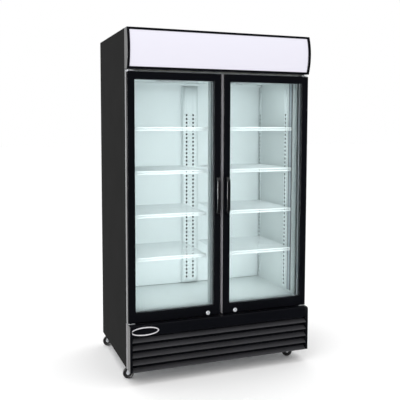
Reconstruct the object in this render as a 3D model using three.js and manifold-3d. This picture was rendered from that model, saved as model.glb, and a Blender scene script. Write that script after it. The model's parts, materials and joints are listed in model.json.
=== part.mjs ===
// Two-door glass merchandiser on casters. Millimetres, +Z up, front towards -Y.
// Inside the cabinet group X runs from the middle, Y goes back from the side
// panels' front edge, and Z goes up from the body's underside. The group moves
// that frame so that the origin is on the floor, under the middle of the box
// that bounds the whole object.
import * as THREE from 'three';
import { mergeVertices } from 'three/addons/utils/BufferGeometryUtils.js';
import Module from 'manifold-3d';

const wasm = await Module();
wasm.setup();

// Driving dimensions
const WIDTH = 1120;
const BODY_HEIGHT = 1905;
const BODY_DEPTH = 660;
const CASTER_HEIGHT = 75;
const FRONT_REACH = 88;
const BACK_REACH = 8;
const HALF = WIDTH / 2;
const DEPTH = FRONT_REACH + BODY_DEPTH + BACK_REACH;

const SHEET = 1.5;
const GAP = 0.3;
const RETURN_FLANGE = 24;
const SKIN_X = HALF - SHEET - GAP;

const BAY_TOP = 272;
const WALL = 48;
const LINER_X = HALF - WALL - 1.8;
const LINER_FLOOR = 323.8;
const LINER_BACK = 604.2;
const LINER_CEILING = 1851.2;
const HEADER_DEPTH = 50;
const OPENING_TOP = 1640.2;

const DOOR = { outer: 558.6, inner: 7.5, bottom: 272, top: 1669, front: -52, back: -11.3 };
const STILE = 42;
const TOP_RAIL = 42;
const BOTTOM_RAIL = 57;
const RABBET = 12;
const GLASS = { front: -46, back: -26, pane: 4 };
const HINGE = { x: 546, y: -24, pin: 4, bore: 4.5 };
const HANDLE = { x: 30, bottom: 862, top: 1082, front: -84, width: 20 };
const LOCK = { x: 86, z: 288, head: 12, shank: 9 };

const CANOPY = { bottom: 1682, top: 1905, capWidth: 15, radius: 293.4, peak: -70.5 };
const GRILLE = { bottom: 3, top: 267.5, cheek: 15, fins: 5, pitch: 42.4 };

const MULLION_X = 52;
const SHELF = { x: 281, width: 448, front: 50, depth: 440, thick: 9, bar: 9 };
const SHELF_TOPS = [1367, 1117, 867, 617];

const FAN = { x: 230, y: 215, z: 1660, radius: 95 };
const CONDENSER_FAN = { x: 150, y: 132, z: 128, radius: 92 };
const CASTER = { x: 512, front: 34, back: 600, trail: 28, radius: 31.5, width: 24 };

// Finishes
const finish = (color, roughness, metalness = 0) =>
  new THREE.MeshStandardMaterial({ color, roughness, metalness });
const BLACK_PAINT = finish(0x2a2a2a, 0.55);
const BLACK_GLOSS = finish(0x141416, 0.2);
const GRILLE_PAINT = finish(0x333336, 0.4);
const WHITE_LINER = finish(0xe6edec, 0.35);
const WHITE_WIRE = finish(0xf2f4f4, 0.3);
const LIGHT_PANEL = finish(0xf1effb, 0.3);
const GREY_STEEL = finish(0xb9bcbf, 0.4, 0.8);
const ZINC = finish(0xc9ccd0, 0.3, 0.9);
const FOAM = finish(0xe0c98a, 0.9);
const RUBBER = finish(0x18181a, 0.7);
const GLASS_CLEAR = finish(0xcfe3e2, 0.05);
const ALUMINIUM = finish(0xc5c8ca, 0.35, 0.8);
const COMPRESSOR_BLACK = finish(0x1b1b1c, 0.45);

// Solids from outlines
function block([x0, x1], [y0, y1], [z0, z1]) {
  const size = [Math.abs(x1 - x0), Math.abs(y1 - y0), Math.abs(z1 - z0)];
  const geometry = new THREE.BoxGeometry(...size);
  return geometry.translate((x0 + x1) / 2, (y0 + y1) / 2, (z0 + z1) / 2);
}

// Points in the winding that a shape or its hole needs
function wound(outline, clockwise) {
  const points = outline.map(([u, v]) => new THREE.Vector2(u, v));
  return THREE.ShapeUtils.isClockWise(points) === clockwise ? points : points.reverse();
}

function shapeOf(outline, holes = []) {
  const shape = new THREE.Shape(wound(outline, false));
  shape.holes = holes.map((hole) => new THREE.Path(wound(hole, true)));
  return shape;
}

function extruded(outline, depth, holes = []) {
  return new THREE.ExtrudeGeometry(shapeOf(outline, holes), { depth, bevelEnabled: false });
}

// Outline in X and Y, raised from z0 to z1.
function prismZ(outline, z0, z1, holes = []) {
  return extruded(outline, z1 - z0, holes).translate(0, 0, z0);
}

// Outline in X and Z, running from y0 back to y1.
function prismY(outline, y0, y1, holes = []) {
  return extruded(outline, y1 - y0, holes).rotateX(Math.PI / 2).translate(0, y1, 0);
}

// Outline in Y and Z, running from x0 to x1.
function prismX(outline, x0, x1) {
  const turn = new THREE.Matrix4().makeBasis(
    new THREE.Vector3(0, 1, 0),
    new THREE.Vector3(0, 0, 1),
    new THREE.Vector3(1, 0, 0),
  );
  return extruded(outline, Math.abs(x1 - x0)).applyMatrix4(turn).translate(Math.min(x0, x1), 0, 0);
}

function rectangle([u0, u1], [v0, v1]) {
  return [[u0, v0], [u1, v0], [u1, v1], [u0, v1]];
}

function rodZ(radius, [x, y], [z0, z1], sides = 20) {
  const geometry = new THREE.CylinderGeometry(radius, radius, z1 - z0, sides);
  return geometry.rotateX(Math.PI / 2).translate(x, y, (z0 + z1) / 2);
}

function rodY(radius, [x, z], [y0, y1], sides = 20) {
  const geometry = new THREE.CylinderGeometry(radius, radius, y1 - y0, sides);
  return geometry.translate(0, (y0 + y1) / 2, 0).translate(x, 0, z);
}

// Boolean joins and cuts
function bodyOf(geometry) {
  const bare = geometry.clone();
  bare.deleteAttribute('normal');
  bare.deleteAttribute('uv');
  const welded = mergeVertices(bare, 1e-4);
  const mesh = new wasm.Mesh({
    numProp: 3,
    vertProperties: new Float32Array(welded.attributes.position.array),
    triVerts: new Uint32Array(welded.index.array),
  });
  return new wasm.Manifold(mesh);
}

function geometryOf(body) {
  const mesh = body.getMesh();
  const geometry = new THREE.BufferGeometry();
  geometry.setAttribute('position', new THREE.BufferAttribute(new Float32Array(mesh.vertProperties), 3));
  geometry.setIndex(new THREE.BufferAttribute(new Uint32Array(mesh.triVerts), 1));
  geometry.computeVertexNormals();
  return geometry;
}

function joined(...geometries) {
  const bodies = geometries.map(bodyOf);
  return geometryOf(bodies.reduce((whole, body) => whole.add(body)));
}

function cut(geometry, ...tools) {
  const start = bodyOf(geometry);
  return geometryOf(tools.map(bodyOf).reduce((whole, tool) => whole.subtract(tool), start));
}

function addMesh(parent, name, geometry, material) {
  const mesh = new THREE.Mesh(geometry, material);
  mesh.name = name;
  parent.add(mesh);
  return mesh;
}

const SIDES = [['left', -1], ['right', 1]];

// Outer case
function sidePanel(side) {
  const skin = side * HALF;
  const inner = side * (HALF - SHEET);
  const lip = side * (HALF - RETURN_FLANGE);
  const outline = [
    [skin, 0], [lip, 0], [lip, SHEET], [inner, SHEET],
    [inner, BODY_DEPTH - SHEET], [lip, BODY_DEPTH - SHEET], [lip, BODY_DEPTH], [skin, BODY_DEPTH],
  ];
  return prismZ(outline, 0, BODY_HEIGHT);
}

// A flat sheet with two raised ribs that hold the cabinet off the wall.
function backPanel() {
  const near = BODY_DEPTH + GAP;
  const far = near + SHEET;
  const ribTop = BODY_DEPTH + BACK_REACH;
  const edge = HALF - 15;
  const rib = (x) => [[x + 30, far], [x + 22, ribTop], [x - 22, ribTop], [x - 30, far]];
  const outline = [[-edge, near], [edge, near], [edge, far], ...rib(300), ...rib(-300), [-edge, far]];
  return prismZ(outline, BAY_TOP + 1, BODY_HEIGHT - 4);
}

function topPanel() {
  return block([-SKIN_X, SKIN_X], [1.8, BODY_DEPTH - 3.8], [BODY_HEIGHT - 2.2, BODY_HEIGHT - 0.5]);
}

function foamBox() {
  const outer = block([-SKIN_X, SKIN_X], [1.8, BODY_DEPTH - 3.8], [BAY_TOP, BODY_HEIGHT - 2.5]);
  const x = LINER_X + 1.8;
  const chamber = block([-x, x], [HEADER_DEPTH, LINER_BACK + 1.8], [LINER_FLOOR - 1.8, LINER_CEILING + 1.8]);
  const mouth = block([-x, x], [0, HEADER_DEPTH + 1], [LINER_FLOOR - 1.8, OPENING_TOP + 1.8]);
  return cut(outer, chamber, mouth);
}

function linerShell() {
  const hollow = (grow) => joined(
    block(
      [-LINER_X - grow, LINER_X + grow],
      [HEADER_DEPTH + 1.8 - grow, LINER_BACK + grow],
      [LINER_FLOOR - grow, LINER_CEILING + grow],
    ),
    block(
      [-LINER_X - grow, LINER_X + grow],
      [grow ? 1.8 : 0, HEADER_DEPTH + 3],
      [LINER_FLOOR - grow, OPENING_TOP + grow],
    ),
  );
  return cut(hollow(SHEET), hollow(0));
}

function faceFrame() {
  const outline = rectangle([-HALF + 2, HALF - 2], [BAY_TOP + GAP, CANOPY.bottom - 0.6]);
  const opening = rectangle([-LINER_X + 1.2, LINER_X - 1.2], [LINER_FLOOR + 1.2, OPENING_TOP - 1.2]);
  return prismY(outline, -3, -GAP, [opening]);
}

function centerMullion() {
  const outer = rectangle([-MULLION_X, MULLION_X], [-3, 48]);
  const inner = rectangle([-MULLION_X + SHEET, MULLION_X - SHEET], [-3 + SHEET, 48 - SHEET]);
  return prismZ(outer, LINER_FLOOR + 1.5, OPENING_TOP - 1.5, [inner]);
}

function baseFrame() {
  const back = BODY_DEPTH - 4;
  const tray = cut(
    block([-SKIN_X, SKIN_X], [2, back], [0, 36]),
    block([-SKIN_X + 2.5, SKIN_X - 2.5], [4.5, back - 2.5], [2.5, 37]),
  );
  const plates = [];
  for (const [, side] of SIDES) {
    for (const y of [CASTER.front, CASTER.back]) {
      plates.push(block([side * CASTER.x - 38, side * CASTER.x + 38], [y - 30, y + 30], [-3, 0.5]));
    }
  }
  return joined(tray, ...plates);
}

function rearCover() {
  const near = BODY_DEPTH + GAP;
  const cover = block([-HALF + 18, HALF - 18], [near, near + SHEET], [4, BAY_TOP - 2]);
  const slots = [];
  for (const x of [-330, -110, 110, 330]) {
    for (let row = 0; row < 6; row += 1) {
      const z = 60 + 28 * row;
      slots.push(block([x - 80, x + 80], [near - 1, near + 3], [z, z + 9]));
    }
  }
  return cut(cover, ...slots);
}

// Light box above the doors
function canopyArc(radius, halfHeight, steps = 12) {
  const middleZ = (CANOPY.bottom + CANOPY.top) / 2;
  const middleY = CANOPY.peak + CANOPY.radius;
  const reach = Math.asin(halfHeight / radius);
  return Array.from({ length: steps + 1 }, (_, i) => {
    const angle = -reach + (2 * reach * i) / steps;
    return [middleY - radius * Math.cos(angle), middleZ + radius * Math.sin(angle)];
  });
}

function canopyHousing() {
  const { bottom, top } = CANOPY;
  const back = -0.6;
  const lip = -55.7;
  const lipHeight = 13;
  const outline = [
    [back, bottom], [lip, bottom], [lip, bottom + lipHeight], [lip + SHEET, bottom + lipHeight],
    [lip + SHEET, bottom + SHEET], [back - SHEET, bottom + SHEET],
    [back - SHEET, top - SHEET], [lip + SHEET, top - SHEET],
    [lip + SHEET, top - lipHeight], [lip, top - lipHeight], [lip, top], [back, top],
  ];
  return prismX(outline, -HALF + CANOPY.capWidth + GAP, HALF - CANOPY.capWidth - GAP);
}

function signPanel() {
  const front = canopyArc(CANOPY.radius, 109);
  const back = canopyArc(CANOPY.radius - 3, 108).reverse();
  return prismX([...front, ...back], -HALF + CANOPY.capWidth + 0.6, HALF - CANOPY.capWidth - 0.6);
}

function canopyEndCap(side) {
  const front = canopyArc(CANOPY.radius + 7, (CANOPY.top - CANOPY.bottom) / 2);
  const outline = [[-0.6, CANOPY.bottom], ...front, [-0.6, CANOPY.top]];
  return prismX(outline, side * HALF, side * (HALF - CANOPY.capWidth));
}

function canopyLamp() {
  return block([-500, 500], [-14, -2.5], [1780, 1806]);
}

// Louvred front of the machine bay
function frontGrille() {
  const { bottom, top, cheek, fins, pitch } = GRILLE;
  const face = -FRONT_REACH;
  const back = -0.6;
  const side = [[back, bottom], [face, bottom], [face, top - 12], [face + 8, top], [back, top]];
  const pieces = SIDES.map(([, sign]) => prismX(side, sign * HALF, sign * (HALF - cheek)));
  const reach = HALF - cheek + 1;
  const band = [
    [back, top], [face + 8, top], [face, top - 12], [face, top - 54], [face + 9, top - 62],
    [face + 11, top - 61], [face + 2, top - 53], [face + 2, top - 13], [face + 9, top - 2], [back, top - 2],
  ];
  pieces.push(prismX(band, -reach, reach));
  for (let i = 0; i < fins; i += 1) {
    const z = bottom + pitch * i;
    const fin = [
      [face, z], [face + 2, z], [face + 2, z + 5], [face + 25, z + 31],
      [face + 25, z + 35], [face + 23, z + 35], [face, z + 6],
    ];
    pieces.push(prismX(fin, -reach, reach));
  }
  return joined(...pieces);
}

// Cold side: fan panel, fans, coil, air duct and lights
function fanRotor(radius, hubRadius, hubDepth, pitchDegrees) {
  const root = hubRadius - 5;
  const tip = radius * 0.95;
  const blade = [[root, -14], [tip * 0.7, -34], [tip, -26], [radius * 0.99, 2], [tip, 24], [tip * 0.6, 20], [root, 12]];
  const pieces = [rodZ(hubRadius, [0, 0], [-hubDepth / 2, hubDepth / 2])];
  for (let i = 0; i < 5; i += 1) {
    const vane = prismZ(blade, -1.2, 1.2).rotateX(THREE.MathUtils.degToRad(pitchDegrees));
    pieces.push(vane.rotateZ((2 * Math.PI * i) / 5));
  }
  return joined(...pieces);
}

function evaporatorCover() {
  const front = HEADER_DEPTH + 2.2;
  const profile = [
    [front, 1650], [470, 1650], [523, 1700], [523, 1702.1], [469.4, 1651.5], [front, 1651.5],
  ];
  const plate = prismX(profile, -LINER_X + 0.6, LINER_X - 0.6);
  const holes = [-FAN.x, FAN.x].map((x) => rodZ(FAN.radius + 6, [x, FAN.y], [1640, 1660], 32));
  const switchHole = block([428, 456], [70, 88], [1640, 1660]);
  return cut(plate, ...holes, switchHole);
}

function finnedCoil([x0, x1], [front, spine, back], [z0, z1], fins) {
  const pitch = (x1 - x0) / fins;
  const teeth = [];
  for (let i = fins - 1; i >= 0; i -= 1) {
    const x = x0 + pitch * i;
    teeth.push([x + pitch, spine], [x + pitch * 0.6, spine], [x + pitch * 0.6, front], [x, front]);
  }
  return prismZ([[x0, back], [x1, back], ...teeth], z0, z1);
}

function ductPanel() {
  const x = 508;
  const back = LINER_BACK - GAP;
  const outline = [
    [-x, 525], [x, 525], [x, back], [x - SHEET, back],
    [x - SHEET, 525 + SHEET], [-x + SHEET, 525 + SHEET], [-x + SHEET, back], [-x, back],
  ];
  return prismZ(outline, LINER_FLOOR + 2, 1640);
}

function centerPilaster() {
  const outline = [
    [-53, 524.7], [-53, 506], [52, 506], [52, 524.7], [52 - SHEET, 524.7],
    [52 - SHEET, 506 + SHEET], [-53 + SHEET, 506 + SHEET], [-53 + SHEET, 524.7],
  ];
  return prismZ(outline, 330, 1636);
}

function ledStrip(side) {
  const wall = side * (LINER_X - GAP);
  return block([wall, wall - side * 4.2], [52, 96], [340, 1634]);
}

function switchRocker() {
  return block([-12, 12], [-7, 7], [-6, 6]);
}

// Coated wire shelf, as a flat grid of bars
function wireShelf() {
  const { width, front, depth, thick, bar } = SHELF;
  const columns = 9;
  const pitch = (width - bar) / columns;
  const middle = front + depth / 2;
  const rows = [[front + bar, middle - bar / 2], [middle + bar / 2, front + depth - bar]];
  const slots = [];
  for (const row of rows) {
    for (let i = 0; i < columns; i += 1) {
      const x = bar - width / 2 + pitch * i;
      slots.push(block([x, x + pitch - bar], row, [-thick - 1, 1]));
    }
  }
  return cut(block([-width / 2, width / 2], [front, front + depth], [-thick, 0]), ...slots);
}

// Doors
function doorFrame(side) {
  const { outer, inner, bottom, top, front, back } = DOOR;
  const x0 = side * inner;
  const x1 = side * outer;
  const slab = block([x0, x1], [front, back], [bottom, top]);
  const window = block(
    [x0 + side * STILE, x1 - side * STILE],
    [front - 1, back + 1],
    [bottom + BOTTOM_RAIL, top - TOP_RAIL],
  );
  const deep = STILE - RABBET;
  const groove = block(
    [x0 + side * deep, x1 - side * deep],
    [GLASS.front - 0.5, GLASS.back + 0.5],
    [bottom + BOTTOM_RAIL - RABBET, top - TOP_RAIL + RABBET],
  );
  const pinAt = [side * HINGE.x, HINGE.y];
  const lowerBore = rodZ(HINGE.bore, pinAt, [bottom - 1, bottom + 16]);
  const upperBore = rodZ(HINGE.bore, pinAt, [top - 16, top + 1]);
  const lockBore = rodY(LOCK.shank + 0.4, [side * LOCK.x, LOCK.z], [front - 1, front + 24]);
  return cut(slab, window, groove, lowerBore, upperBore, lockBore);
}

// Two panes with a spacer between them; a small breather hole opens the cavity.
function doorGlass(side) {
  const edge = STILE - RABBET + 0.6;
  const x = [side * (DOOR.inner + edge), side * (DOOR.outer - edge)];
  const z = [DOOR.bottom + BOTTOM_RAIL - RABBET + 0.6, DOOR.top - TOP_RAIL + RABBET - 0.6];
  const spacer = 10;
  const { front, back, pane } = GLASS;
  const unit = block(x, [front, back], z);
  const cavity = block(
    [x[0] + side * spacer, x[1] - side * spacer],
    [front + pane, back - pane],
    [z[0] + spacer, z[1] - spacer],
  );
  const middle = (front + back) / 2;
  const breather = block([x[0] + side * 40, x[0] + side * 44], [middle - 2, middle + 2], [z[0] - 1, z[0] + 12]);
  return cut(unit, cavity, breather);
}

function doorGasket(side) {
  const inset = 12.6;
  const width = 18;
  const ring = (grow) => rectangle(
    [side * (DOOR.inner + inset + grow), side * (DOOR.outer - inset - grow)],
    [DOOR.bottom + inset + grow, DOOR.top - inset - grow],
  );
  return prismY(ring(0), DOOR.back + GAP, -3.3, [ring(width)]);
}

// Grip that stands off the stile on two curved ends.
function doorHandle(side) {
  const { x, bottom, top, front, width } = HANDLE;
  const foot = DOOR.front - GAP;
  const bend = (yEdge, zFoot, zTop) => Array.from({ length: 6 }, (_, i) => {
    const angle = (Math.PI / 2) * (i / 5);
    const y = foot + (yEdge - foot) * Math.sin(angle);
    const z = zFoot + (zTop - zFoot) * (1 - Math.cos(angle));
    return [y, z];
  });
  const outerLow = bend(front, bottom, bottom + 34);
  const outerHigh = bend(front, top, top - 34).reverse();
  const innerHigh = bend(front + 12, top - 20, top - 44);
  const innerLow = bend(front + 12, bottom + 20, bottom + 44).reverse();
  const outline = [...outerLow, ...outerHigh, ...innerHigh, ...innerLow];
  return prismX(outline, side * (x - width / 2), side * (x + width / 2));
}

function doorLock(side) {
  const at = [side * LOCK.x, LOCK.z];
  return joined(
    rodY(LOCK.head, at, [DOOR.front - 5, DOOR.front - GAP], 24),
    rodY(LOCK.shank, at, [DOOR.front - 1, DOOR.front + 23], 24),
  );
}

// Plate with an upright leg on the face frame and a pin in the door's bore
function hingeBracket(side, upper) {
  const x = [side * (HALF - 2), side * (HALF - 40)];
  const plateZ = upper ? [1672.5, 1676] : [268, 271.2];
  const legZ = upper ? [1672.5, CANOPY.bottom - 0.6] : [268, 281];
  const pinZ = upper ? [1656, 1674] : [270, 285];
  return joined(
    block(x, [-40, -3.3], plateZ),
    block(x, [-5.3, -3.3], legZ),
    rodZ(HINGE.pin, [side * HINGE.x, HINGE.y], pinZ, 16),
  );
}

// Swivel casters: +X of a caster's own frame points the way its wheel trails.
function casterFork() {
  const axleZ = CASTER.radius - CASTER_HEIGHT + 3;
  const leg = [
    [-18, -2], [24, -2], [37, axleZ + 6], [34, axleZ - 7], [22, axleZ - 7], [-18, -12],
  ];
  const inside = CASTER.width / 2 + 2.6;
  return joined(
    rodZ(23, [0, 0], [-6.2, -GAP], 24),
    block([-18, 24], [-inside - 2.5, inside + 2.5], [-6.2, -1.5]),
    prismY(leg, -inside - 2.5, -inside),
    prismY(leg, inside, inside + 2.5),
    rodY(4, [CASTER.trail, axleZ], [-inside - 4.5, inside + 4.5], 16),
  );
}

function casterWheel() {
  const sides = 24;
  const tread = CASTER.radius / Math.cos(Math.PI / sides);
  const half = CASTER.width / 2;
  const profile = [
    [4.4, -half - 1.6], [11, -half - 1.6], [12, -half + 3], [26, -half + 2], [tread, -half + 1],
    [tread, half - 1], [26, half - 2], [12, half - 3], [11, half + 1.6], [4.4, half + 1.6],
  ];
  const points = [...profile, profile[0]].map(([r, w]) => new THREE.Vector2(r, w));
  return new THREE.LatheGeometry(points, sides).rotateY(Math.PI / sides);
}

function brakePedal() {
  const outline = [[-24.6, -4.5], [-54, -16], [-58, -15], [-59, -18], [-52, -21], [-24.6, -12]];
  return prismY(outline, -12, 12);
}

// Machine bay
function compressorPot() {
  const radius = 84;
  const height = 178;
  const profile = [[0, 0], [radius - 14, 0], [radius, 14], [radius, height - 50]];
  for (let i = 1; i <= 5; i += 1) {
    const angle = (Math.PI / 2) * (i / 5);
    profile.push([radius * Math.cos(angle), height - 50 + 50 * Math.sin(angle)]);
  }
  profile[profile.length - 1][0] = 0;
  const points = profile.map(([r, z]) => new THREE.Vector2(r, z));
  const pot = new THREE.LatheGeometry(points, 24).rotateX(Math.PI / 2).translate(0, 0, 14);
  const feet = [[-95, -65], [95, -65], [95, 65], [-95, 65]].map((at) => rodZ(12, at, [0, 11], 12));
  return joined(pot, block([-112, 112], [-80, 80], [10, 14.5]), ...feet);
}

// Assembly
const merchandiser = new THREE.Group();
const cabinet = new THREE.Group();
cabinet.position.set(0, FRONT_REACH - DEPTH / 2, CASTER_HEIGHT);
merchandiser.add(cabinet);

addMesh(cabinet, 'base_frame', baseFrame(), GREY_STEEL);
addMesh(cabinet, 'foam_insulation', foamBox(), FOAM);
addMesh(cabinet, 'inner_liner', linerShell(), WHITE_LINER);
addMesh(cabinet, 'face_frame', faceFrame(), WHITE_LINER);
addMesh(cabinet, 'center_mullion', centerMullion(), WHITE_LINER);
addMesh(cabinet, 'back_panel', backPanel(), GREY_STEEL);
addMesh(cabinet, 'top_panel', topPanel(), BLACK_PAINT);
addMesh(cabinet, 'rear_cover', rearCover(), BLACK_PAINT);
addMesh(cabinet, 'front_grille', frontGrille(), GRILLE_PAINT);
addMesh(cabinet, 'canopy_housing', canopyHousing(), BLACK_PAINT);
addMesh(cabinet, 'canopy_sign_panel', signPanel(), LIGHT_PANEL);
addMesh(cabinet, 'canopy_lamp', canopyLamp(), LIGHT_PANEL);
addMesh(cabinet, 'evaporator_cover', evaporatorCover(), ALUMINIUM);
addMesh(cabinet, 'evaporator_coil', finnedCoil([-420, 420], [350, 470, 484], [1712, 1832], 24), ALUMINIUM);
addMesh(cabinet, 'rear_duct_panel', ductPanel(), WHITE_LINER);
addMesh(cabinet, 'center_pilaster', centerPilaster(), WHITE_LINER);

const rocker = addMesh(cabinet, 'light_switch', switchRocker(), BLACK_GLOSS);
rocker.position.set(442, 79, 1650.8);
rocker.rotation.y = THREE.MathUtils.degToRad(-8);

const compressor = addMesh(cabinet, 'compressor', compressorPot(), COMPRESSOR_BLACK);
compressor.position.set(-330, 420, 2.9);
addMesh(cabinet, 'condenser_coil', finnedCoil([-40, 340], [20, 78, 90], [16, 240], 20), ALUMINIUM);

const condenserFan = addMesh(
  cabinet, 'condenser_fan', fanRotor(CONDENSER_FAN.radius, 24, 26, 28), BLACK_GLOSS,
);
condenserFan.position.set(CONDENSER_FAN.x, CONDENSER_FAN.y, CONDENSER_FAN.z);
condenserFan.rotation.x = Math.PI / 2;

for (const [name, side] of SIDES) {
  addMesh(cabinet, `${name}_side_panel`, sidePanel(side), BLACK_PAINT);
  addMesh(cabinet, `canopy_end_cap_${name}`, canopyEndCap(side), BLACK_GLOSS);
  addMesh(cabinet, `led_strip_${name}`, ledStrip(side), LIGHT_PANEL);
  const fan = addMesh(cabinet, `evaporator_fan_${name}`, fanRotor(FAN.radius, 26, 24, 26), BLACK_GLOSS);
  fan.position.set(side * FAN.x, FAN.y, FAN.z);
  SHELF_TOPS.forEach((height, i) => {
    const shelf = addMesh(cabinet, `shelf_${name}_${i + 1}`, wireShelf(), WHITE_WIRE);
    shelf.position.set(side * SHELF.x, 0, height);
  });
  addMesh(cabinet, `door_frame_${name}`, doorFrame(side), BLACK_GLOSS);
  addMesh(cabinet, `door_glass_${name}`, doorGlass(side), GLASS_CLEAR);
  addMesh(cabinet, `door_gasket_${name}`, doorGasket(side), RUBBER);
  addMesh(cabinet, `door_handle_${name}`, doorHandle(side), BLACK_GLOSS);
  addMesh(cabinet, `door_lock_${name}`, doorLock(side), ZINC);
  addMesh(cabinet, `hinge_bracket_bottom_${name}`, hingeBracket(side, false), ZINC);
  addMesh(cabinet, `hinge_bracket_top_${name}`, hingeBracket(side, true), ZINC);
}

const TRAIL_ANGLES = { front_left: 160, front_right: 163, back_left: 160, back_right: 20 };
for (const [name, angle] of Object.entries(TRAIL_ANGLES)) {
  const caster = new THREE.Group();
  const side = name.endsWith('left') ? -1 : 1;
  caster.position.set(side * CASTER.x, name.startsWith('front') ? CASTER.front : CASTER.back, -3);
  caster.rotation.z = THREE.MathUtils.degToRad(angle);
  cabinet.add(caster);
  addMesh(caster, `caster_fork_${name}`, casterFork(), ZINC);
  const wheel = addMesh(caster, `caster_wheel_${name}`, casterWheel(), RUBBER);
  wheel.position.set(CASTER.trail, 0, CASTER.radius - CASTER_HEIGHT + 3);
  if (name.startsWith('front')) {
    addMesh(caster, `brake_pedal_${name}`, brakePedal(), BLACK_GLOSS);
  }
}

export default merchandiser;
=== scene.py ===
"""Looks of the two-door glass merchandiser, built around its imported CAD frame.

Shapes are written in the cabinet's own millimetres: X from the middle, Y back from the side
panels' front edge and Z up from the body's underside. TO_ROW turns them into the row frame.
The camera, the floor and the lamps are placed in the row frame itself, in metres.
"""

import json
import math

import bmesh
import bpy
from mathutils import Matrix, Vector

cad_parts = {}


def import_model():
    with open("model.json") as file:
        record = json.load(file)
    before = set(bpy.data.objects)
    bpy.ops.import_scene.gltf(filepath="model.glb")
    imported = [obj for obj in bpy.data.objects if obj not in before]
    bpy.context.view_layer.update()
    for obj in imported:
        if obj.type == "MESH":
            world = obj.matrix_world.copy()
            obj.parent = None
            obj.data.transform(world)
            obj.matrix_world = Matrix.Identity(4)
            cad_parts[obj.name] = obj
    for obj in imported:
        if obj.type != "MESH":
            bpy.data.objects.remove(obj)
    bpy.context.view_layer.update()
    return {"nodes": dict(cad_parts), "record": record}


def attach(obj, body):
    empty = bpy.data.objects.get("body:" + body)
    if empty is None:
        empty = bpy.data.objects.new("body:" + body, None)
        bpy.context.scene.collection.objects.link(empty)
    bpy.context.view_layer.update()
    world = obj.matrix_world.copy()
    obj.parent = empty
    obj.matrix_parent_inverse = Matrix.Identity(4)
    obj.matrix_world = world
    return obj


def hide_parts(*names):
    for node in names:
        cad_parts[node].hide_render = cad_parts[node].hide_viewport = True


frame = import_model()

TO_ROW = Matrix.Translation((0, -0.29, 0.075)) @ Matrix.Scale(0.001, 4)
SIDES = (("left", -1), ("right", 1))

CAMERA = {"at": (-1.3545, -3.6164, 1.4507), "yaw": 20.398, "tilt": 4.322, "roll": 0.116}
LENS, LENS_SHIFT = 55.35, -0.07
DAYLIGHT = (0.965, 1.0, 1.0)

HALF = 560
BACK_FACE = 662
DOOR = {"outer": 558.6, "inner": 7.5, "bottom": 272, "top": 1669, "front": -52, "back": -11.3}
WINDOW_STILE, WINDOW_TOP, WINDOW_BOTTOM = 42, 42, 57
GLASS_FRONT, GLASS_BACK, PANE = -46, -26, 4
HANDLE = {"x": 30, "bottom": 862, "top": 1082, "front": -84, "width": 20}
LOCK = (86, 288)
HINGE = (546, -24)
CANOPY = {"bottom": 1682, "top": 1905, "cap": 15, "radius": 293.4, "peak": -70.5}
GRILLE = {"bottom": 3, "top": 267.5, "face": -88, "cheek": 15, "fins": 5, "pitch": 42.4}
PLATE = {"x": -473, "z": 233.5, "half_x": 80, "half_z": 24.5, "rim": 6.5}
LINER_X = 510.2
PILASTER = {"left": -53, "right": 52, "bottom": 330, "top": 1636, "wall": 1.4}
WALL_STRIP = {"half": 13, "bottom": 345, "top": 1600, "front": 137, "rear": 500, "wall": 1.2}
LED = {"front": 52, "back": 96, "bottom": 340, "top": 1634}
SHELF = {"x": 281, "width": 448, "front": 50, "back": 490}
SHELF_TOPS = (1367, 1117, 867, 617)
CLIP_DEPTHS = (137, 478)
HOLES = {"bottom": 362, "top": 1455, "pitch": 25, "height": 13}
FANS = ((-230, 215), (230, 215))
COMPRESSOR = (-330, 420, 2.9)
CONDENSER_FAN = (150, 132, 128)
CASTERS = {"front_left": 160, "front_right": 163, "back_left": 160, "back_right": 20}
CASTER_X, CASTER_FRONT, CASTER_BACK = 512, 34, 600
TRAIL, WHEEL_RADIUS, AXLE_Z = 28, 31.5, -40.5


# ---------------------------------------------------------------- camera and stage
def camera():
    data = bpy.data.cameras.new("camera")
    data.lens = LENS
    data.shift_y = LENS_SHIFT
    seen = bpy.data.objects.new("camera", data)
    bpy.context.scene.collection.objects.link(seen)
    yaw, tilt, roll = (math.radians(CAMERA[k]) for k in ("yaw", "tilt", "roll"))
    turn = Matrix.Rotation(-yaw, 4, "Z") @ Matrix.Rotation(math.pi / 2 - tilt, 4, "X")
    seen.matrix_world = (
        Matrix.Translation(CAMERA["at"]) @ turn @ Matrix.Rotation(roll, 4, "Z")
    )
    bpy.context.scene.camera = seen


def soft_box(name, at, target, size, watts, color=(1, 1, 1), hidden=False):
    """A rectangular lamp aimed at a point; a hidden one isn't mirrored or seen through glass."""
    data = bpy.data.lights.new(name, "AREA")
    data.shape = "RECTANGLE"
    data.size, data.size_y = size
    data.energy = watts
    data.color = color
    lamp = bpy.data.objects.new(name, data)
    bpy.context.scene.collection.objects.link(lamp)
    lamp.location = at
    lamp.rotation_mode = "QUATERNION"
    lamp.rotation_quaternion = (Vector(target) - Vector(at)).to_track_quat("-Z", "Y")
    lamp.visible_camera = False
    lamp.visible_glossy = not hidden
    lamp.visible_transmission = not hidden
    return lamp


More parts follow.
